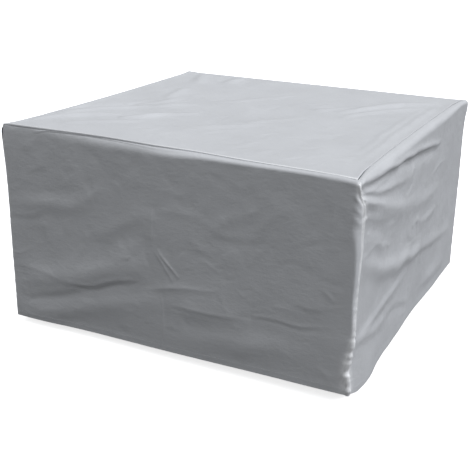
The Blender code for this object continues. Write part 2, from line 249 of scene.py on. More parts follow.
def uneven(along, down, slack, seed):
    """Height of slack cloth's slow unevenness, from rows of its height and the size of a lump."""
    rows = enumerate(slack)
    return sum(height * lumps(along, down, size, seed + k) for k, (height, size) in rows)


def handled(along, down, seed, length, drop, count, slants):
    """Height of the small creases that folding and handling leave, strewn over a panel."""
    draw = np.random.default_rng(seed)
    height = np.zeros_like(along)
    for _ in range(count):
        middle = draw.uniform(CREASE_MARGIN, (length - CREASE_MARGIN, drop - CREASE_MARGIN))
        slant = math.radians(draw.choice(slants) + draw.normal(0, CREASE_TURNS))
        reach = draw.uniform(*CREASE_REACH)
        bow = draw.uniform(*CREASE_BOW) * reach
        run = np.array((math.cos(slant), math.sin(slant)))
        side = np.array((-run[1], run[0]))
        crest = (middle - run * reach, middle + side * bow, middle + run * reach)
        width = draw.uniform(*CREASE_WIDTH)
        rise = draw.uniform(*CREASE_RISE) * draw.choice((-1, 1))
        near = np.hypot(along - middle[0], down - middle[1]) < 1.4 * reach + 3 * width
        lap, under = rise * draw.uniform(*CREASE_LAP), width * draw.uniform(*CREASE_UNDER)
        row = (crest, rise, lap, width, under)
        height[near] += fold_height((row,), along[near], down[near], keen=1.6, taper=1.0)
    return height


def pulled(points):
    """The points with the cover's pulls added, so that panels which meet move together."""
    moved = points.copy()
    for middle, move, (across, down) in PULLS:
        far = np.sum(((points - middle) / (across, across, down)) ** 2, axis=-1)
        moved += np.exp(-far)[..., None] * np.array(move)
    return moved


CROWD = 1.4  # how much denser the crowded places are: 0 would leave them even


def crowded(place, middle, reach):
    """Places from 0 to 1 moved closer together around one of them, where a crease is fine."""
    even = np.linspace(0, 1, 400)
    crowd = np.cumsum(1 + CROWD * np.exp(-(((even - middle) / reach) ** 2)))
    return np.interp(place, (crowd - crowd[0]) / (crowd[-1] - crowd[0]), even)


def graded(grain):
    """Places from 0 to 1, close together at both ends and about a grain apart between them."""
    steps, step = [0.0], SEAM_GRAIN
    while step < grain:
        steps.append(steps[-1] + step)
        step *= GRAIN_GROWS
    middle = 1 - 2 * steps[-1]
    count = max(round(middle / grain), 1)
    inner = steps[-1] + np.arange(1, count) * middle / count
    return np.concatenate([steps, inner, 1 - np.array(steps[::-1])])


def drawn_back(points):
    """The points, with the outer edges moved back along the cloth to leave room at the seams."""
    lines = (
        (points[0], points[1]),
        (points[-1], points[-2]),
        (points[:, 0], points[:, 1]),
        (points[:, -1], points[:, -2]),
    )
    for edge, inner in lines:
        inward = inner - edge
        edge += inward / np.linalg.norm(inward, axis=-1)[:, None] * ROOM_AT_SEAM
    return points


def new_group(name, kind, inputs, outputs):
    """An empty node group with named sockets, and the ends of its inputs and outputs inside it."""
    group = bpy.data.node_groups.new(name, kind)
    for label, form, value in inputs:
        socket = group.interface.new_socket(label, in_out="INPUT", socket_type="NodeSocket" + form)
        if value is not None:
            socket.default_value = value
    for label, form in outputs:
        group.interface.new_socket(label, in_out="OUTPUT", socket_type="NodeSocket" + form)
    ends = group.nodes.new("NodeGroupInput"), group.nodes.new("NodeGroupOutput")
    return group, ends[0].outputs, ends[1].inputs


def plug(tree, inputs, values):
    """Sets inputs to values, or links them to the sockets given for them."""
    for name, value in values.items():
        if isinstance(value, bpy.types.NodeSocket):
            tree.links.new(value, inputs[name])
        else:
            inputs[name].default_value = value


def add_node(tree, kind, values, **settings):
    """The outputs of a new node with its settings made and its inputs set or linked."""
    node = tree.nodes.new(kind)
    for name, value in settings.items():
        setattr(node, name, value)
    plug(tree, node.inputs, values)
    return node.outputs


def calculated(tree, operation, *values):
    """The result of a Math node on sockets or numbers."""
    return add_node(tree, "ShaderNodeMath", dict(enumerate(values)), operation=operation)[0]


def noise_of(tree, place, scale, detail, roughness=0.5):
    """A soft 3-D noise texture's value at a place."""
    values = {"Vector": place, "Scale": scale, "Detail": detail, "Roughness": roughness}
    return add_node(tree, "ShaderNodeTexNoise", values)["Fac"]


def new_material(name):
    """A new material, its node tree, and its Principled BSDF's inputs."""
    material = bpy.data.materials.new(name)
    material.use_nodes = True
    tree = material.node_tree
    return material, tree, tree.nodes["Principled BSDF"].inputs


def add_object(name, data):
    """A new object, placed in the scene."""
    made = bpy.data.objects.new(name, data)
    bpy.context.scene.collection.objects.link(made)
    return made


THREAD_PITCH = 0.0009
THREAD_HEIGHT = 0.00004
CRINKLE_HEIGHT = 0.0019
CRINKLE_SQUEEZE = (0.65, 1.0, 1.0)  # crinkles are longer along a panel than down it
SMALL_CRINKLE, TINY_CRINKLE = 0.30, 0.08  # beside the coarse one
LEAST_TONE, TONE_VARIES = 0.93, 0.14
ROUGHNESS, ROUGHNESS_VARIES = 0.52, 0.25
SILVER_GREY = (0.555, 0.565, 0.580, 1.0)
# Pale colour mixed in for a painted highlight on the seams and front lap, and for wear at the hem.
HIGHLIGHT_AND_WEAR_COLOUR = (0.92, 0.925, 0.93, 1.0)


def plain_weave():
    """Threads over and under one another, on cloth laid out in metres."""
    inputs = (("Cloth", "Vector", None), ("Thread pitch", "Float", THREAD_PITCH))
    group, given, made = new_group("plain weave", "ShaderNodeTree", inputs, (("Height", "Float"),))
    split = add_node(group, "ShaderNodeSeparateXYZ", {0: given["Cloth"]})
    waves = []
    for axis in ("X", "Y"):
        turns = calculated(group, "DIVIDE", split[axis], given["Thread pitch"])
        angle = calculated(group, "MULTIPLY", turns, math.pi)
        waves.append(calculated(group, "SINE", angle))
    group.links.new(calculated(group, "MULTIPLY", *waves), made["Height"])
    return group


def handling_marks():
    """Fine crinkle, and the slow changes of tone and gloss that folding leaves in a coating."""
    inputs = (("Cloth", "Vector", None),)
    outputs = (("Crinkle", "Float"), ("Tone", "Float"), ("Gloss", "Float"))
    group, given, made = new_group("handling marks", "ShaderNodeTree", inputs, outputs)
    squeeze = {0: given["Cloth"], 1: CRINKLE_SQUEEZE}
    squeezed = add_node(group, "ShaderNodeVectorMath", squeeze, operation="MULTIPLY")[0]
    coarse = noise_of(group, squeezed, scale=30.0, detail=3.0)
    ridge = calculated(group, "ABSOLUTE", calculated(group, "SUBTRACT", coarse, 0.5))
    small = noise_of(group, squeezed, scale=95.0, detail=2.0)
    tiny = noise_of(group, given["Cloth"], scale=260.0, detail=1.0)
    slow = noise_of(group, given["Cloth"], scale=5.5, detail=4.0, roughness=0.6)
    crinkle = calculated(group, "MULTIPLY_ADD", small, SMALL_CRINKLE, ridge)
    plug(group, made, {
        "Crinkle": calculated(group, "MULTIPLY_ADD", tiny, TINY_CRINKLE, crinkle),
        "Tone": calculated(group, "MULTIPLY_ADD", slow, TONE_VARIES, LEAST_TONE),
        "Gloss": calculated(group, "SUBTRACT", slow, 0.5),
    })
    return group


WEAVE = plain_weave()
MARKS = handling_marks()


def coated_cloth(name):
    """Satin silver-grey coating on a fine plain weave, with a painted highlight on its seams and
    lap and its hem rubbed paler.
    """
    material, tree, shader = new_material(name)
    cloth = {"Cloth": add_node(tree, "ShaderNodeUVMap", {}, uv_map="laid_out")["UV"]}
    weave = add_node(tree, "ShaderNodeGroup", cloth, node_tree=WEAVE)
    marks = add_node(tree, "ShaderNodeGroup", cloth, node_tree=MARKS)
    # The attribute read here mixes in a paler colour: a painted highlight on seams and front lap,
    # and wear on the hem.
    highlight_and_wear = add_node(tree, "ShaderNodeAttribute", {}, attribute_name="highlight_and_wear")["Fac"]
    colours = {"Factor": highlight_and_wear, "A": SILVER_GREY, "B": HIGHLIGHT_AND_WEAR_COLOUR}
    base = add_node(tree, "ShaderNodeMix", colours, data_type="RGBA")["Result"]
    toning = {0: base, "Scale": marks["Tone"]}
    toned = add_node(tree, "ShaderNodeVectorMath", toning, operation="SCALE")[0]
    relief = calculated(tree, "MULTIPLY", marks["Crinkle"], CRINKLE_HEIGHT)
    height = calculated(tree, "MULTIPLY_ADD", weave["Height"], THREAD_HEIGHT, relief)
    raised = {"Height": height, "Distance": 1.0, "Strength": 1.0}
    plug(tree, shader, {
        "Base Color": toned,
        "Metallic": 0.12,
        "Roughness": calculated(tree, "MULTIPLY_ADD", marks["Gloss"], ROUGHNESS_VARIES, ROUGHNESS),
        "Specular IOR Level": 0.42,
        "Normal": add_node(tree, "ShaderNodeBump", raised)["Normal"],
    })
    return material


SILVER_CLOTH = coated_cloth("silver_coated_cloth")


def lay_cloth(name, points, laid_out, highlight_and_wear):
    """A panel of cloth through rows of points of its outer face, seen from outside, made solid."""
    rows, columns = points.shape[:2]
    index = np.arange(rows * columns).reshape(rows, columns)
    quads = np.stack([index[1:, :-1], index[1:, 1:], index[:-1, 1:], index[:-1, :-1]], axis=-1)
    mesh = bpy.data.meshes.new(name)
    mesh.from_pydata(points.reshape(-1, 3).tolist(), [], quads.reshape(-1, 4).tolist())
    mesh.materials.append(SILVER_CLOTH)
    mesh.shade_smooth()
    corners = np.zeros(len(mesh.loops), int)
    mesh.loops.foreach_get("vertex_index", corners)
    uv = mesh.uv_layers.new(name="laid_out")
    uv.data.foreach_set("uv", laid_out.reshape(-1, 2)[corners].ravel())
    # How much paler colour each point gets: painted highlight on seams and lap, wear on the hem.
    mesh.attributes.new("highlight_and_wear", "FLOAT", "POINT").data.foreach_set("value", highlight_and_wear.ravel())
    panel = add_object(name, mesh)
    solid = panel.modifiers.new("cloth thickness", "SOLIDIFY")
    solid.thickness = CLOTH
    solid.offset = -1
    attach(panel, "root")
    return panel


def top_points():
    """The top panel's upper face from the back to the front, its cloth laid out, and its painted
    lap highlight.
    """
    place = graded(TOP_GRAIN / WIDTH)
    across, forward = np.meshgrid(place, place)
    x, y = (across - 0.5) * WIDTH, (0.5 - forward) * DEPTH
    for _ in range(3):  # the four edges shift one another a little, and soon settle
        left = along_curve(SEAM_INSET["left_panel"], DEPTH / 2 - y)
        right = along_curve(SEAM_INSET["right_panel"], DEPTH / 2 + y)
        back = along_curve(SEAM_INSET["back_panel"], WIDTH / 2 - x)
        front = along_curve(SEAM_INSET["front_panel"], WIDTH / 2 + x)
        x = left - WIDTH / 2 + across * (WIDTH - left - right)
        y = DEPTH / 2 - back - forward * (DEPTH - back - front)
    inside = (
        ("left_panel", x + WIDTH / 2 - left, DEPTH / 2 - y),
        ("right_panel", WIDTH / 2 - right - x, DEPTH / 2 + y),
        ("back_panel", DEPTH / 2 - back - y, WIDTH / 2 - x),
        ("front_panel", y + DEPTH / 2 - front, WIDTH / 2 + x),
    )
    open_cloth, highlight_and_wear = np.ones_like(x), np.zeros_like(x)
    sunk, stands, rounded = np.zeros_like(x), np.zeros_like(x), np.ones_like(x)
    for name, distance, along in inside:
        nose = np.sqrt(np.clip(1 - (1 - np.clip(distance / EDGE_ROUNDS, 0, 1)) ** 2, 0, 1))
        lap = 1 - eased((distance - EDGE_ROUNDS) / (EDGE_DIES - EDGE_ROUNDS))
        sunk = np.maximum(sunk, along_curve(SEAM_SINKS[name], along) * (1 - nose))
        stands = np.maximum(stands, along_curve(EDGE_STANDS[name], along) * lap)
        rounded = np.minimum(rounded, nose)
        open_cloth *= eased(distance / TOP_OPENS)
        # A painted highlight on the nose of the front lap.
        if name == "front_panel":
            highlight_and_wear = LAP_HIGHLIGHT * np.exp(-(((distance - LAP_HIGHLIGHT_AT) / LAP_HIGHLIGHT_WIDTH) ** 2))
    z = CLOTH_FACE - sunk + stands * rounded
    right_x, down_y = x + WIDTH / 2, DEPTH / 2 - y
    folds = fold_height(TOP_FOLDS, *strayed(right_x, down_y, TOP_STRAY_SIZE, TOP_SEED + 1))
    folds += TOP_CREASED * handled(right_x, down_y, TOP_SEED + 3, WIDTH, DEPTH, *TOP_HANDLING)
    folds += uneven(right_x, down_y, TOP_SLACK, TOP_SEED + 4)
    z += folds * open_cloth
    blunted = (np.abs(across - 0.5) == 0.5) & (np.abs(forward - 0.5) == 0.5)
    x = x - np.where(blunted, np.sign(across - 0.5) * SEAM_CORNER / 2, 0)
    y = y + np.where(blunted, np.sign(forward - 0.5) * SEAM_CORNER / 2, 0)
    face = drawn_back(pulled(np.stack([x, y, z], axis=-1)))
    return face, np.stack([right_x, -down_y], axis=-1), highlight_and_wear


top_face, laid_out, highlight_and_wear = top_points()
top = lay_cloth("top_cloth", top_face, laid_out, highlight_and_wear)
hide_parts("top_panel")

# ----------------------------------------------------------------------------- front panel
# The wide panel that faces the camera, cut from the same coated cloth. Its upper edge rolls over
# onto the top, where the top seam joins it. Both its sides are sewn to the next panels, and its
# foot is turned up in a hem.

DROP = 0.735  # from the top to the hem
SIDE_GRAIN = 0.0056  # step of the grid on the open cloth
STRIP_ROWS = (0.0, 0.03, 0.08, 0.16, 0.28, 0.42, 0.58, 0.72, 0.86)  # shares of the strip's width
ROLL_ROWS = 12  # round the rolled edge
DROP_ROWS = 124  # from the rolled edge to the hem
LAST_ROWS = (1 - 0.0022, 1 - 0.0008, 1.0)  # shares of the drop, close together at the hem's edge
ALONG_CROWD, DOWN_CROWD = 0.06, 0.10  # how far the grid's finer places reach, as shares
STRIP_BULGE = 0.0012  # how far the strip on the top stands up between its seam and the roll
HEM_HEIGHT = 0.022  # of the turned-up hem
HEM_STEP = 0.0006  # how far the doubled cloth of the hem stands out
HEM_FADES = 0.0025  # height over which that step dies out
HEM_WEAR = 0.2  # how rubbed the hem's edge is
HEM_WEAR_REACH = 0.003
SIDE_SLACK = ((0.0012, 0.15), (0.0009, 0.055))  # height of its unevenness, and size of a lump
SIDE_STRAY_SIZE = 0.09  # length over which its folds wander
FOLDS_FROM_SEAM, FOLDS_FROM_TOP = 0.012, 0.022  # how soon the folds have their full height
TOP_PUCKERS, TOP_PUCKER_SIZE, TOP_PUCKER_REACH = 0.0004, 0.011, 0.035  # along the top seam
GATHER_SHARE, GATHER_SIZE = 0.16, 0.012  # of a corner seam's puckers, in the cloth beside it
RIPPLE_SIZES, RIPPLE_REACH = (0.013, 0.007), 0.018  # of the puckers in a corner seam
RIPPLE_SEED = 100
RIDGE_FLATNESS = 2.4  # 2 would be a round ridge
SEAM_HIGHLIGHT, HIGHLIGHT_VARIES, HIGHLIGHT_PATCH = 0.75, 0.25, 0.009  # painted highlight of a corner seam, how it varies, and a patch's size
SEAM_FROM_TOP, HIGHLIGHT_FROM_TOP = 0.012, 0.010  # how soon below the top they reach their strength
HEM_FROM_SEAM, STRIP_FROM_SEAM, PUCKERS_FROM_SEAM = 0.01, 0.05, 0.02  # how soon beside a seam
PUCKERS_FROM_TOP, SINK_REACH = 0.004, 0.010  # along the cloth from the top seam

# Radius in which the side panels roll over the top edge, along each side from its left end.
EDGE_ROLL = {
    "front_panel": ((0.0, 0.040), (0.12, 0.160), (0.25, 0.070), (0.42, 0.050), (0.62, 0.028),
                    (0.81, 0.014), (1.00, 0.011), (1.15, 0.0095), (1.28, 0.014), (1.35, 0.013)),
    "right_panel": ((0.0, 0.013), (0.25, 0.020), (0.90, 0.024), (1.35, 0.014)),
    "back_panel": ((0.0, 0.014), (1.35, 0.014)),
    "left_panel": ((0.0, 0.014), (1.10, 0.014), (1.35, 0.040)),
}
# How steeply the cloth leaves the seam, in degrees below level, along the same sides.
EDGE_LEANS = {
    "front_panel": ((0.0, 85.0), (0.06, 86.0), (0.12, 83.0), (0.25, 62.0), (0.42, 49.0),
                    (0.62, 44.0), (0.81, 6.0), (1.35, 0.0)),
    "right_panel": ((0.0, 0.0), (1.35, 0.0)),
    "back_panel": ((0.0, 0.0), (1.35, 0.0)),
    "left_panel": ((0.0, 0.0), (1.10, 5.0), (1.35, 72.0)),
}
# Each corner of the cover, by depth below the top: its radius, how far past it, towards the next
# panel, its seam runs, the height and width of the seam's ridge, how far from the seam its painted
# highlight reaches, and how high the seam's puckers are.
PLAIN_CORNER = {
    "radius": ((0.0, 0.012), (0.735, 0.010)),
    "past": ((0.0, 0.0), (0.735, 0.0)),
    "ridge": ((0.0, 0.0), (0.03, 0.0012), (0.735, 0.0014)),
    "ridge width": ((0.0, 0.0034), (0.735, 0.0034)),
    "highlight_reach": ((0.0, 0.006), (0.735, 0.006)),
    "puckers": ((0.0, 0.0), (0.05, 0.0004), (0.735, 0.0006)),
}
PINCHED_CORNER = {
    "radius": ((0.0, 0.012), (0.05, 0.014), (0.09, 0.022), (0.15, 0.025), (0.19, 0.016),
               (0.24, 0.009), (0.32, 0.006), (0.735, 0.006)),
    "past": ((0.0, 0.0), (0.02, 0.003), (0.05, 0.012), (0.09, 0.034), (0.15, 0.043), (0.22, 0.043),
             (0.30, 0.035), (0.40, 0.025), (0.50, 0.010), (0.60, 0.002), (0.735, 0.000)),
    "ridge": ((0.0, 0.0), (0.02, 0.0034), (0.06, 0.0042), (0.12, 0.0030), (0.40, 0.0038),
              (0.55, 0.0050), (0.735, 0.0062)),
    "ridge width": ((0.0, 0.0056), (0.05, 0.0062), (0.12, 0.0044), (0.36, 0.0042), (0.50, 0.0060),
                    (0.60, 0.0095), (0.735, 0.0090)),
    "highlight_reach": ((0.0, 0.014), (0.06, 0.017), (0.13, 0.018), (0.20, 0.012), (0.28, 0.007),
               (0.40, 0.007), (0.55, 0.013), (0.64, 0.024), (0.735, 0.026)),
    "puckers": ((0.0, 0.0), (0.05, 0.0026), (0.18, 0.0020), (0.30, 0.0010), (0.46, 0.0022),
                (0.56, 0.0042), (0.735, 0.0044)),
}
LOOSE_CORNER = {**PLAIN_CORNER, "radius": ((0.0, 0.014), (0.12, 0.018), (0.735, 0.016))}
CORNERS = (PLAIN_CORNER, PINCHED_CORNER, PLAIN_CORNER, LOOSE_CORNER)  # from the front left round
# Each side panel: the corner at its left end, the way it runs, seen from outside from left to
# right, the way it faces, its length, how far from the middle of the cover its face is, and how far
# from its corner seams it is gathered.
SIDES = {
    "front_panel": (0, (1, 0), (0, -1), WIDTH, DEPTH / 2, 0.012),
    "right_panel": (1, (0, 1), (1, 0), DEPTH, WIDTH / 2, 0.050),
    "back_panel": (2, (-1, 0), (0, 1), WIDTH, DEPTH / 2, 0.012),
    "left_panel": (3, (0, -1), (-1, 0), DEPTH, WIDTH / 2, 0.012),
}


def side_rows(finest):
    """Each row's share of the strip on the top, of the turn over the edge and of the drop."""
    strips = 1 - np.array(STRIP_ROWS)
    rolls = np.linspace(0, 1, ROLL_ROWS)
    drops = crowded(np.linspace(0, 1, DROP_ROWS + 1), finest / DROP, DOWN_CROWD)
    drops = np.concatenate([drops[1:-1], LAST_ROWS])
    strip = np.concatenate([strips, np.zeros(len(rolls) + len(drops))])
    roll = np.concatenate([np.zeros(len(strips)), rolls, np.ones(len(drops))])
    drop = np.concatenate([np.zeros(len(strips) + len(rolls)), drops])
    return strip[:, None], roll[:, None], drop[:, None]


def over_edge(name, place, strip, turned):
    """How cloth goes over the top edge: its angle below level, how far in from the edge and how
    far down it is, and the length of cloth up to it from the seam."""
    lean = np.radians(along_curve(EDGE_LEANS[name], place))
    radius = along_curve(EDGE_ROLL[name], place)
    width = along_curve(SEAM_INSET[name], place) - radius * (1 - np.sin(lean))
    angle = lean + (math.pi / 2 - lean) * turned
    inset = radius * (1 - np.sin(angle)) + width * strip
    down = radius * (np.cos(lean) - np.cos(angle)) + width * (1 - strip) * np.tan(lean)
    return angle, inset, down, radius * (angle - lean) + width * (1 - strip) / np.cos(lean)


def round_corner(past, radius):
    """How far a point past the start of a corner turns round it, and how far it then runs on."""
    return np.clip(past / (2 * radius), 0, 1) * math.pi / 2, np.maximum(past - 2 * radius, 0)


def between_corners(name, along, down, strip, turned):
    """Where places along a side panel come to, along its side and outward, with its corners
    rounded, and how far the cloth turns there."""
    corner, _, _, length, face, _ = SIDES[name]
    left, right = (along_curve(CORNERS[k % 4]["radius"], down) for k in (corner, corner + 1))
    left_inset, right_inset = (
        over_edge(name, np.full_like(along, place), strip, turned)[1] for place in (0.0, length)
    )
    left_true = np.maximum(left - left_inset, SEAM_CORNER)
    right_true = np.maximum(right - right_inset, SEAM_CORNER)
    left_turn, left_on = round_corner(left - along, left)
    right_turn, right_on = round_corner(along - (length - right), right)

    flat = np.clip((along - left) / (length - left - right), 0, 1)
    left_end = left_inset + left_true - length / 2
    right_end = length / 2 - right_inset - right_true
    ran = left_end + (right_end - left_end) * flat
    ran += right_true * np.sin(right_turn) - left_true * np.sin(left_turn)
    rounded = left_true * (1 - np.cos(left_turn)) + right_true * (1 - np.cos(right_turn))
    return ran, face - rounded - left_on - right_on, right_turn - left_turn


def seam_ripple(distance, down, depth, seed):
    """Puckers along a corner seam, mostly outward, which die out with distance from it."""
    wave = lumps(down + 0.25 * distance, 0 * down + seed, RIPPLE_SIZES[0], seed)
    wave += 0.6 * lumps(down - 0.4 * distance, 0 * down, RIPPLE_SIZES[1], seed + 1)
    return depth * (wave + 1.0) * np.exp(-((distance / RIPPLE_REACH) ** 1.4))


def at_seams(corner, from_left, from_right, down):
    """Distance from the nearer corner seam of a side panel, the height of its ridge and puckers
    there, the puckers' own height, and how far the painted highlight beside the seam reaches."""
    from_seam, near_left = np.minimum(from_left, from_right), from_left < from_right
    seams = corner, (corner + 1) % 4
    ridge, width, highlight_reach, depth = (
        np.where(near_left, *(along_curve(CORNERS[seam][key], down) for seam in seams))
        for key in ("ridge", "ridge width", "highlight_reach", "puckers")
    )
    seeds = (RIPPLE_SEED + 10 * seam for seam in seams)
    ripples = (seam_ripple(from_seam, down, depth, seed) for seed in seeds)
    height = ridge * np.exp(-((from_seam / width) ** RIDGE_FLATNESS))
    return from_seam, height + np.where(near_left, *ripples), depth, highlight_reach


def side_panel(name, hem_lift, folds, creases, handling, finest, seed, fans=()):
    """A side panel's outer face from the top seam to the hem, its cloth laid out, and its painted
    seam highlight and hem wear.
    """
    corner, run, facing, length, _, gather_reach = SIDES[name]
    places = crowded(graded(SIDE_GRAIN / length), finest[0] / length, ALONG_CROWD)
    strip, turned, drop = side_rows(finest[1])
    nominal = places * length + 0 * drop
    roll, inset, down, from_top = over_edge(name, nominal, strip, turned)
    hem_at = DROP - along_curve(hem_lift, nominal)
    hang = drop * (hem_at - down)
    down, from_top = down + hang, from_top + hang
    above_hem = hem_at - down

    start = along_curve(CORNERS[corner]["past"], down)
    end = length + along_curve(CORNERS[(corner + 1) % 4]["past"], down)
    along = start + (end - start) * places
    ran, outward, turn = between_corners(name, along, down, strip, turned)
    from_seam, seam, depth, highlight_reach = at_seams(corner, along - start, end - along, down)

    wandering = strayed(along, down, SIDE_STRAY_SIZE, seed + 1)
    lift = fold_height(folds, *wandering) + fold_height(creases, *wandering, keen=1.4)
    lift += fold_height(fans, along, down, taper=0.8, fan=True)
    lift += handled(along, down, seed + 3, length, DROP, *handling)
    lift += uneven(along, down, SIDE_SLACK, seed + 4)
    gathers = GATHER_SHARE * depth * lumps(along, down, GATHER_SIZE, seed + 8)
    lift += gathers * np.exp(-((from_seam / gather_reach) ** 2))
    lift *= eased(from_seam / FOLDS_FROM_SEAM) * eased(down / FOLDS_FROM_TOP)

    hem = HEM_STEP * (1 - eased((above_hem - HEM_HEIGHT) / HEM_FADES + 0.5))
    lift += hem * eased(from_seam / HEM_FROM_SEAM) + seam * eased(down / SEAM_FROM_TOP)
    lift += STRIP_BULGE * np.sin(math.pi * strip) * eased(from_seam / STRIP_FROM_SEAM)
    puckers = TOP_PUCKERS * lumps(along, 0.5 * from_top, TOP_PUCKER_SIZE, seed + 7)
    puckers *= eased(from_seam / PUCKERS_FROM_SEAM) * eased(from_top / PUCKERS_FROM_TOP)
    lift += puckers * np.exp(-((from_top / TOP_PUCKER_REACH) ** 2))

    ran += lift * np.sin(turn) * np.sin(roll)
    outward += lift * np.cos(turn) * np.sin(roll) - inset
    sinks = along_curve(SEAM_SINKS[name], nominal) * (1 - eased(from_top / SINK_REACH))
    x, y = (ran * run[k] + outward * facing[k] for k in (0, 1))
    z = CLOTH_FACE - down - sinks + lift * np.cos(roll)
    # Painted highlight along the corner seams, in ragged patches, and wear on the hem's edge.
    patchy = SEAM_HIGHLIGHT + HIGHLIGHT_VARIES * lumps(down, 2 * from_seam, HIGHLIGHT_PATCH, seed + 6)
    highlight_and_wear = patchy * np.exp(-((from_seam / highlight_reach) ** 2)) * eased(down / HIGHLIGHT_FROM_TOP)
    highlight_and_wear = np.maximum(highlight_and_wear, HEM_WEAR * (1 - eased(above_hem / HEM_WEAR_REACH)))
    cloth = np.stack([along + seed / 50, -(from_top + 0 * along)], axis=-1)
    return drawn_back(pulled(np.stack([x, y, z], axis=-1))), cloth, highlight_and_wear


FRONT_HEM_LIFT = ((0.0, -0.002), (0.45, 0.000), (0.80, 0.005), (1.35, 0.010))
FRONT_FOLDS = (
    # crest, rise, lap, above, below
    (((0.06, 0.590), (0.24, 0.535), (0.36, 0.500), (0.48, 0.455), (0.60, 0.400)),
     0.0130, 0.0, 0.036, 0.032),
    (((0.04, 0.650), (0.14, 0.622), (0.25, 0.592), (0.33, 0.558)), 0.0, 0.0016, 0.012, 0.012),
    (((0.262, 0.556), (0.31, 0.552), (0.355, 0.547)), 0.0, 0.0015, 0.007, 0.007),
    (((0.30, 0.560), (0.38, 0.543), (0.46, 0.514), (0.56, 0.482)), 0.0, 0.0026, 0.010, 0.010),
    (((-0.02, 0.700), (0.16, 0.688), (0.28, 0.650), (0.44, 0.603), (0.64, 0.545)),
     0.0080, 0.0, 0.026, 0.030),
    (((-0.03, 0.284), (0.10, 0.275), (0.19, 0.265), (0.30, 0.247), (0.35, 0.222), (0.45, 0.166)),
     0.0042, 0.0, 0.018, 0.020),
    (((-0.02, 0.340), (0.10, 0.326), (0.19, 0.300)), 0.0, 0.0010, 0.010, 0.012),
    (((0.00, 0.526), (0.12, 0.530), (0.20, 0.538), (0.30, 0.558)), 0.0016, 0.0, 0.009, 0.008),
    (((0.39, 0.360), (0.45, 0.318), (0.50, 0.280), (0.56, 0.247), (0.64, 0.228)),
     0.0032, 0.0, 0.020, 0.018),
    (((0.25, 0.490), (0.305, 0.432), (0.34, 0.390)), 0.0014, 0.0, 0.014, 0.012),
    (((0.46, 0.440), (0.52, 0.390), (0.57, 0.320)), 0.0018, 0.0, 0.018, 0.016),
    (((0.70, 0.204), (0.78, 0.205), (0.81, 0.216), (0.85, 0.234)), 0.0016, 0.0, 0.010, 0.012),
    (((0.84, 0.250), (0.88, 0.225), (0.92, 0.195), (0.97, 0.166), (1.04, 0.138)),
     0.0018, 0.0, 0.014, 0.014),
    (((0.83, 0.232), (0.88, 0.262), (0.92, 0.269), (1.04, 0.254)), 0.0, 0.0011, 0.012, 0.014),
    (((0.99, 0.262), (1.02, 0.214), (1.055, 0.176), (1.09, 0.148), (1.18, 0.104)),
     0.0018, 0.0, 0.014, 0.014),
    (((1.16, 0.238), (1.20, 0.226), (1.25, 0.200)), 0.0, 0.0006, 0.010, 0.010),
    (((0.69, 0.549), (0.78, 0.547), (0.87, 0.549), (0.97, 0.547)), 0.0, 0.0013, 0.005, 0.007),
    (((0.98, 0.523), (1.07, 0.521), (1.16, 0.519), (1.24, 0.517)), 0.0, 0.0014, 0.005, 0.007),
    (((1.11, 0.524), (1.20, 0.518), (1.30, 0.512)), 0.0, 0.0006, 0.007, 0.010),
    (((0.66, 0.690), (0.90, 0.640), (1.02, 0.628), (1.25, 0.600)), 0.0060, 0.0, 0.026, 0.032),
    (((1.15, 0.448), (1.20, 0.455), (1.25, 0.455)), 0.0, 0.0009, 0.009, 0.009),
    (((1.23, 0.650), (1.28, 0.672), (1.33, 0.674)), 0.0012, 0.0, 0.009, 0.009),
)
FRONT_CREASES = (
    # crest, rise, lap, above, below
    (((0.66, 0.545), (0.78, 0.543), (0.87, 0.545), (1.00, 0.542)), 0.0085, 0.0, 0.060, 0.026),
    (((0.640, 0.342), (0.674, 0.383), (0.698, 0.409), (0.726, 0.442)), 0.0042, 0.0, 0.0034, 0.0032),
    (((0.634, 0.352), (0.660, 0.392), (0.680, 0.426), (0.702, 0.458)), 0.0026, 0.0, 0.0036, 0.0032),
    (((0.580, 0.514), (0.650, 0.494), (0.700, 0.480), (0.760, 0.469), (0.880, 0.454)),
     0.0030, 0.0, 0.007, 0.006),
    (((0.655, 0.530), (0.654, 0.620), (0.653, 0.715)), 0.0026, 0.0, 0.005, 0.005),
    (((0.623, 0.195), (0.623, 0.270), (0.621, 0.340)), 0.0022, 0.0, 0.004, 0.004),
    (((0.594, 0.300), (0.596, 0.340), (0.597, 0.370)), -0.0012, 0.0, 0.005, 0.005),
    (((0.887, 0.410), (0.888, 0.465), (0.895, 0.500), (0.910, 0.525)), 0.0011, 0.0, 0.006, 0.006),
    (((0.655, 0.136), (0.700, 0.141), (0.750, 0.146)), 0.0010, 0.0, 0.007, 0.007),
    (((1.248, 0.362), (1.270, 0.386), (1.292, 0.410)), 0.0020, 0.0, 0.006, 0.006),
    (((1.272, 0.070), (1.274, 0.120), (1.276, 0.170)), 0.0014, 0.0, 0.007, 0.007),
    (((1.193, 0.110), (1.194, 0.145), (1.196, 0.180)), 0.0009, 0.0, 0.007, 0.007),
    (((1.300, 0.095), (1.303, 0.125), (1.300, 0.155)), -0.0012, 0.0, 0.006, 0.006),
    (((1.334, 0.046), (1.356, 0.066), (1.378, 0.092)), 0.0036, 0.0, 0.0042, 0.0042),
    (((1.332, 0.076), (1.356, 0.098), (1.380, 0.126)), 0.0036, 0.0, 0.0042, 0.0042),
    (((1.332, 0.110), (1.356, 0.134), (1.382, 0.160)), 0.0030, 0.0, 0.0042, 0.0042),
)
front_face, laid_out, highlight_and_wear = side_panel(
    "front_panel", FRONT_HEM_LIFT, FRONT_FOLDS, FRONT_CREASES,
    handling=(200, (-35, -10, 15, 85)), finest=(0.68, 0.41), seed=200,
)
front = lay_cloth("front_cloth", front_face, laid_out, highlight_and_wear)
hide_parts("front_panel")

# ----------------------------------------------------------------------------- right panel
# The panel on the right, cut and sewn as the front one. It hangs slacker: long folds run from
# the pinched top of the corner seam down across it, and its hem flares beside that corner.

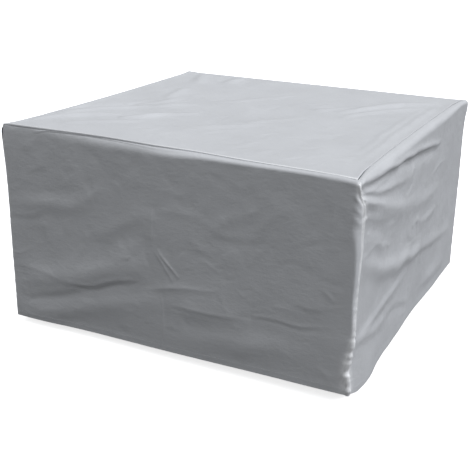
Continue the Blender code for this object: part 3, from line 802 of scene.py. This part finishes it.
RIGHT_HEM_LIFT = ((0.0, 0.010), (0.08, -0.008), (0.60, -0.003), (1.35, -0.002))
RIGHT_FOLDS = (
    # crest, rise, lap, above, below
    (((-0.08, 0.012), (0.13, 0.030), (0.29, 0.040), (0.52, 0.053), (0.79, 0.083), (0.96, 0.101)),
     0.0, 0.0082, 0.012, 0.020),
    (((0.02, 0.268), (0.17, 0.336), (0.30, 0.387), (0.44, 0.424), (0.58, 0.443), (0.76, 0.473)),
     0.0130, 0.0, 0.020, 0.026),
    (((0.48, 0.432), (0.76, 0.473), (0.92, 0.500), (1.26, 0.538)), 0.0065, 0.0, 0.020, 0.014),
    (((0.60, 0.258), (0.79, 0.280), (1.00, 0.286)), 0.0045, 0.0, 0.018, 0.018),
    (((0.02, 0.205), (0.15, 0.246), (0.31, 0.300)), 0.0050, 0.0, 0.020, 0.026),
    (((0.03, 0.556), (0.14, 0.541), (0.29, 0.529), (0.44, 0.519), (0.60, 0.508)),
     0.0052, 0.0, 0.011, 0.015),
    (((0.03, 0.545), (0.22, 0.582), (0.37, 0.592)), 0.0055, 0.0, 0.014, 0.015),
    (((0.38, 0.594), (0.52, 0.612), (0.68, 0.668)), 0.0, 0.0018, 0.015, 0.014),
    (((0.72, 0.352), (0.84, 0.361), (0.97, 0.360)), 0.0042, 0.0, 0.009, 0.014),
    (((0.82, 0.640), (0.98, 0.660), (1.20, 0.672)), 0.0050, 0.0, 0.024, 0.020),
)
RIGHT_FANS = (
    (((0.016, 0.046), (0.095, 0.060), (0.195, 0.084), (0.355, 0.107), (0.58, 0.135)),
     0.0095, 0.0, 0.010, 0.010),
    (((0.014, 0.052), (0.045, 0.072), (0.095, 0.096), (0.20, 0.136), (0.377, 0.194), (0.50, 0.222),
      (0.63, 0.243), (0.80, 0.250)), 0.0165, 0.0, 0.021, 0.030),
    (((0.030, 0.112), (0.06, 0.128), (0.147, 0.158), (0.235, 0.190), (0.36, 0.222)),
     0.0052, 0.0, 0.012, 0.028),
)
RIGHT_CREASES = (
    # crest, rise, lap, above, below
    (((0.004, 0.046), (0.05, 0.043), (0.14, 0.056), (0.30, 0.068)), 0.0054, 0.0, 0.006, 0.006),
    (((0.008, 0.060), (0.06, 0.078), (0.13, 0.102), (0.24, 0.137)), 0.0030, 0.0, 0.006, 0.007),
    (((0.006, 0.118), (0.07, 0.136), (0.16, 0.166), (0.28, 0.204)), 0.0015, 0.0, 0.006, 0.007),
    (((0.006, 0.180), (0.07, 0.192), (0.15, 0.220), (0.26, 0.262)), 0.0010, 0.0, 0.007, 0.008),
    (((0.030, 0.262), (0.12, 0.266), (0.20, 0.271), (0.38, 0.324)), 0.0024, 0.0, 0.006, 0.007),
    (((0.27, 0.240), (0.34, 0.238), (0.42, 0.262)), 0.0016, 0.0, 0.007, 0.008),
    (((0.55, 0.330), (0.60, 0.372), (0.68, 0.392)), 0.0026, 0.0, 0.007, 0.007),
    (((0.62, 0.345), (0.68, 0.330), (0.76, 0.345)), 0.0026, 0.0, 0.007, 0.007),
    (((0.58, 0.410), (0.66, 0.405), (0.76, 0.425)), 0.0022, 0.0, 0.007, 0.007),
    (((0.66, 0.300), (0.70, 0.345), (0.72, 0.400)), 0.0020, 0.0, 0.007, 0.007),
    (((0.88, 0.200), (0.95, 0.185), (1.04, 0.190)), 0.0020, 0.0, 0.007, 0.007),
)
right_face, laid_out, highlight_and_wear = side_panel(
    "right_panel", RIGHT_HEM_LIFT, RIGHT_FOLDS, RIGHT_CREASES,
    handling=(160, (10, 25, -40)), finest=(0.10, 0.12), seed=300, fans=RIGHT_FANS,
)
right = lay_cloth("right_cloth", right_face, laid_out, highlight_and_wear)
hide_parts("right_panel")

# ------------------------------------------------------------------------------ back panel
# The panel behind, cut and sewn as the others. The photograph doesn't show it, so it hangs with
# a few plain folds of the same kind.

BACK_HEM_LIFT = ((0.0, -0.002), (0.40, -0.006), (0.95, 0.004), (1.35, 0.000))
BACK_FOLDS = (
    # crest, rise, lap, above, below
    (((0.05, 0.120), (0.40, 0.300), (0.80, 0.400)), 0.009, 0.0, 0.040, 0.035),
    (((0.86, 0.430), (1.05, 0.250), (1.30, 0.100)), 0.007, 0.0, 0.035, 0.030),
    (((0.10, 0.600), (0.55, 0.560), (1.10, 0.620)), 0.0, 0.006, 0.030, 0.022),
    (((0.50, 0.420), (0.52, 0.560), (0.45, 0.700)), 0.006, 0.0, 0.034, 0.034),
)
BACK_CREASES = (
    # crest, rise, lap, above, below
    (((0.62, 0.460), (0.68, 0.500), (0.72, 0.560)), 0.0024, 0.0, 0.008, 0.008),
    (((0.20, 0.430), (0.32, 0.410), (0.46, 0.440)), 0.0018, 0.0, 0.008, 0.008),
    (((0.98, 0.420), (1.02, 0.520), (1.00, 0.620)), 0.0018, 0.0, 0.008, 0.008),
)
back_face, laid_out, highlight_and_wear = side_panel(
    "back_panel", BACK_HEM_LIFT, BACK_FOLDS, BACK_CREASES,
    handling=(100, (25, -30, 80)), finest=(0.70, 0.40), seed=400,
)
back = lay_cloth("back_cloth", back_face, laid_out, highlight_and_wear)
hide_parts("back_panel")

# ------------------------------------------------------------------------------ left panel
# The panel on the left, as hidden as the back one and made in the same way.

LEFT_HEM_LIFT = ((0.0, 0.000), (0.50, 0.006), (1.00, -0.003), (1.35, -0.002))
LEFT_FOLDS = (
    # crest, rise, lap, above, below
    (((0.05, 0.090), (0.30, 0.240), (0.62, 0.330)), 0.010, 0.0, 0.040, 0.034),
    (((0.70, 0.370), (1.00, 0.280), (1.30, 0.110)), 0.007, 0.0, 0.036, 0.030),
    (((0.20, 0.640), (0.66, 0.545), (1.15, 0.570)), 0.0, 0.006, 0.028, 0.022),
    (((0.88, 0.480), (0.86, 0.600), (0.90, 0.700)), 0.005, 0.0, 0.034, 0.034),
)
LEFT_CREASES = (
    # crest, rise, lap, above, below
    (((0.50, 0.420), (0.56, 0.450), (0.60, 0.510)), 0.0024, 0.0, 0.008, 0.008),
    (((0.24, 0.460), (0.34, 0.450), (0.44, 0.470)), 0.0018, 0.0, 0.008, 0.008),
    (((1.10, 0.380), (1.14, 0.470), (1.12, 0.560)), 0.0018, 0.0, 0.008, 0.008),
)
left_face, laid_out, highlight_and_wear = side_panel(
    "left_panel", LEFT_HEM_LIFT, LEFT_FOLDS, LEFT_CREASES,
    handling=(100, (25, -30, 80)), finest=(0.60, 0.40), seed=500,
)
left = lay_cloth("left_cloth", left_face, laid_out, highlight_and_wear)
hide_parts("left_panel")

# -------------------------------------------------------------------------------- stitches
# Grey polyester thread, sewn in one row on the top's lapped edge, one row beside each corner seam
# and one row along each hem. Each stitch is a short lock stitch that sinks into the cloth.

STITCH_PITCH = 0.0046
STITCH_SIZE = (0.0017, 0.00042, 0.00042)  # half of its length, width and height
STITCH_LEAST, STITCH_MOST = 0.85, 1.10  # shares of that size, as the thread's tension varies
THREAD_DARK = (0.50, 0.505, 0.52, 1.0)
THREAD_PALE = (0.66, 0.665, 0.68, 1.0)
ROW_FROM_SEAM = 4  # rows of the cloth's grid between a seam and its stitches
HEM_STITCH_HEIGHT = 0.018  # above the hem


def stitching():
    """Lays a stitch on each step along an object's edges."""
    inputs = (("Rows", "Geometry", None), ("Pitch", "Float", None),
              ("Half size", "Vector", None), ("Thread", "Material", None))
    outputs = (("Stitches", "Geometry"),)
    group, given, made = new_group("stitching", "GeometryNodeTree", inputs, outputs)
    line = add_node(group, "GeometryNodeMeshToCurve", {"Mesh": given["Rows"]})[0]
    steps = {"Curve": line, "Length": given["Pitch"]}
    even = add_node(group, "GeometryNodeResampleCurve", steps, mode="LENGTH")[0]
    bead = add_node(group, "GeometryNodeMeshIcoSphere", {"Radius": 1.0, "Subdivisions": 1})["Mesh"]
    tangent = {"Vector": add_node(group, "GeometryNodeInputTangent", {})[0]}
    turn = add_node(group, "FunctionNodeAlignRotationToVector", tangent, axis="X")[0]
    limits = {2: STITCH_LEAST, 3: STITCH_MOST, "Seed": 5}
    tension = add_node(group, "FunctionNodeRandomValue", limits, data_type="FLOAT")[1]
    scaling = {0: given["Half size"], "Scale": tension}
    size = add_node(group, "ShaderNodeVectorMath", scaling, operation="SCALE")[0]
    laying = {"Points": even, "Instance": bead, "Rotation": turn, "Scale": size}
    lay = add_node(group, "GeometryNodeInstanceOnPoints", laying)[0]
    real = add_node(group, "GeometryNodeRealizeInstances", {"Geometry": lay})[0]
    dyeing = {"Geometry": real, "Material": given["Thread"]}
    plug(group, made, {"Stitches": add_node(group, "GeometryNodeSetMaterial", dyeing)[0]})
    return group


def grey_thread():
    """Spun polyester thread, dull, with its twist as fine noise."""
    material, tree, shader = new_material("grey_thread")
    place = add_node(tree, "ShaderNodeTexCoord", {})["Object"]
    twist = noise_of(tree, place, scale=2500.0, detail=1.0)
    colours = {"Factor": twist, "A": THREAD_DARK, "B": THREAD_PALE}
    raised = {"Height": twist, "Distance": 0.0001}
    plug(tree, shader, {
        "Base Color": add_node(tree, "ShaderNodeMix", colours, data_type="RGBA")["Result"],
        "Roughness": 0.75,
        "Normal": add_node(tree, "ShaderNodeBump", raised)["Normal"],
    })
    return material


rows = [top_face[ROW_FROM_SEAM], top_face[-1 - ROW_FROM_SEAM]]
rows += [top_face[:, ROW_FROM_SEAM], top_face[:, -1 - ROW_FROM_SEAM]]
for face in (front_face, right_face, back_face, left_face):
    rows.append(face[len(STRIP_ROWS):, ROW_FROM_SEAM])
    above_hem = np.mean(face[:, :, 2] - face[-1, :, 2], axis=1)
    rows.append(face[np.argmin(np.abs(above_hem - HEM_STITCH_HEIGHT))])
sewn = bpy.data.meshes.new("stitch_rows")
starts = np.cumsum([0] + [len(row) for row in rows])
edges = [(k, k + 1) for a, b in zip(starts, starts[1:]) for k in range(a, b - 1)]
sewn.from_pydata(np.concatenate(rows).tolist(), edges, [])
row_object = add_object("stitch_rows", sewn)
modifier = row_object.modifiers.new("stitching", "NODES")
modifier.node_group = stitching()
sizes = {"Pitch": STITCH_PITCH, "Half size": STITCH_SIZE, "Thread": grey_thread()}
for label, value in sizes.items():
    modifier[modifier.node_group.interface.items_tree[label].identifier] = value
sewing = row_object.evaluated_get(bpy.context.evaluated_depsgraph_get())
stitches = add_object("seam_stitches", bpy.data.meshes.new_from_object(sewing))
bpy.data.objects.remove(row_object)
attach(stitches, "root")

# ---------------------------------------------------------------------------------- studio
# A plain white floor, a soft light high on the right and behind, a pale sky all round, and the
# camera where the photograph was taken from.

FLOOR_HEIGHT = -0.762
FLOOR_REACH = 40.0
FLOOR_BOUNCE = (0.08, 0.08, 0.08, 1.0)  # what the cover sees of the floor
FLOOR_WHITE = (0.95, 0.95, 0.95, 1.0)  # what the camera sees of it
FLOOR_GLOW = 0.75
KEY_DIRECTION, KEY_STRENGTH, KEY_SOFTNESS = (1.30, 0.25, 1.0), 1.86, 26  # softness in degrees
KEY_COLOUR = (0.945, 0.96, 1.0)
SKY_COLOUR = (0.96, 0.975, 1.0, 1.0)
SKY_AT_LEVEL, SKY_GROWS = 0.385, 0.62  # brightness at the horizon, and more of it overhead

floor_mesh = bpy.data.meshes.new("floor")
corners = [(-1, -1), (1, -1), (1, 1), (-1, 1)]
floor_mesh.from_pydata(
    [(FLOOR_REACH * x, FLOOR_REACH * y, FLOOR_HEIGHT) for x, y in corners], [], [(0, 1, 2, 3)]
)
floor = add_object("floor", floor_mesh)
paper, tree, plain = new_material("white_paper")
plug(tree, plain, {"Base Color": FLOOR_BOUNCE, "Roughness": 0.9, "Specular IOR Level": 0.0})
lit = add_node(tree, "ShaderNodeBsdfDiffuse", {"Color": FLOOR_WHITE})[0]
glow = add_node(tree, "ShaderNodeEmission", {"Strength": FLOOR_GLOW})[0]
bright = add_node(tree, "ShaderNodeAddShader", {0: lit, 1: glow})[0]
seen = add_node(tree, "ShaderNodeLightPath", {})["Is Camera Ray"]
choice = {0: seen, 1: tree.nodes["Principled BSDF"].outputs[0], 2: bright}
surface = {"Surface": add_node(tree, "ShaderNodeMixShader", choice)[0]}
plug(tree, tree.nodes["Material Output"].inputs, surface)
floor_mesh.materials.append(paper)

sun = bpy.data.lights.new("key_light", "SUN")
sun.energy = KEY_STRENGTH
sun.angle = math.radians(KEY_SOFTNESS)
sun.color = KEY_COLOUR
lamp = add_object("key_light", sun)
lamp.rotation_euler = Vector(KEY_DIRECTION).to_track_quat("Z", "Y").to_euler()

sky = bpy.data.worlds.new("studio_sky")
sky.use_nodes = True
tree = sky.node_tree
direction = add_node(tree, "ShaderNodeTexCoord", {})["Generated"]
above = add_node(tree, "ShaderNodeSeparateXYZ", {0: direction})["Z"]
brightness = calculated(tree, "MULTIPLY_ADD", above, SKY_GROWS, SKY_AT_LEVEL)
seen = add_node(tree, "ShaderNodeLightPath", {})["Is Camera Ray"]
brightness = calculated(tree, "MAXIMUM", brightness, seen)
lighting = {"Color": SKY_COLOUR, "Strength": brightness}
plug(tree, tree.nodes["Background"].inputs, lighting)
bpy.context.scene.world = sky
bpy.context.scene.view_settings.view_transform = "Standard"

AZIMUTH, ELEVATION, ROLL = math.radians(26.44), math.radians(20.30), math.radians(0.83)
CAMERA_PLACE = (1.4715, -3.1097, 0.7639)
FRAME_WIDTH = 470  # of the photograph, in pixels
FOCAL_LENGTH = 894.3  # in the same pixels

back_way = Vector((
    math.sin(AZIMUTH) * math.cos(ELEVATION),
    -math.cos(AZIMUTH) * math.cos(ELEVATION),
    math.sin(ELEVATION),
))
level = Vector((0, 0, 1)).cross(back_way).normalized()
upright = back_way.cross(level)
rolled = math.cos(ROLL) * level + math.sin(ROLL) * upright
raised = math.cos(ROLL) * upright - math.sin(ROLL) * level
lens = bpy.data.cameras.new("camera")
lens.sensor_width = 36.0
lens.sensor_fit = "HORIZONTAL"
lens.lens = FOCAL_LENGTH / FRAME_WIDTH * lens.sensor_width
lens.clip_end = 100.0
camera = add_object("camera", lens)
turned = Matrix((rolled, raised, back_way)).transposed().to_4x4()
camera.matrix_world = Matrix.Translation(CAMERA_PLACE) @ turned
bpy.context.scene.camera = camera
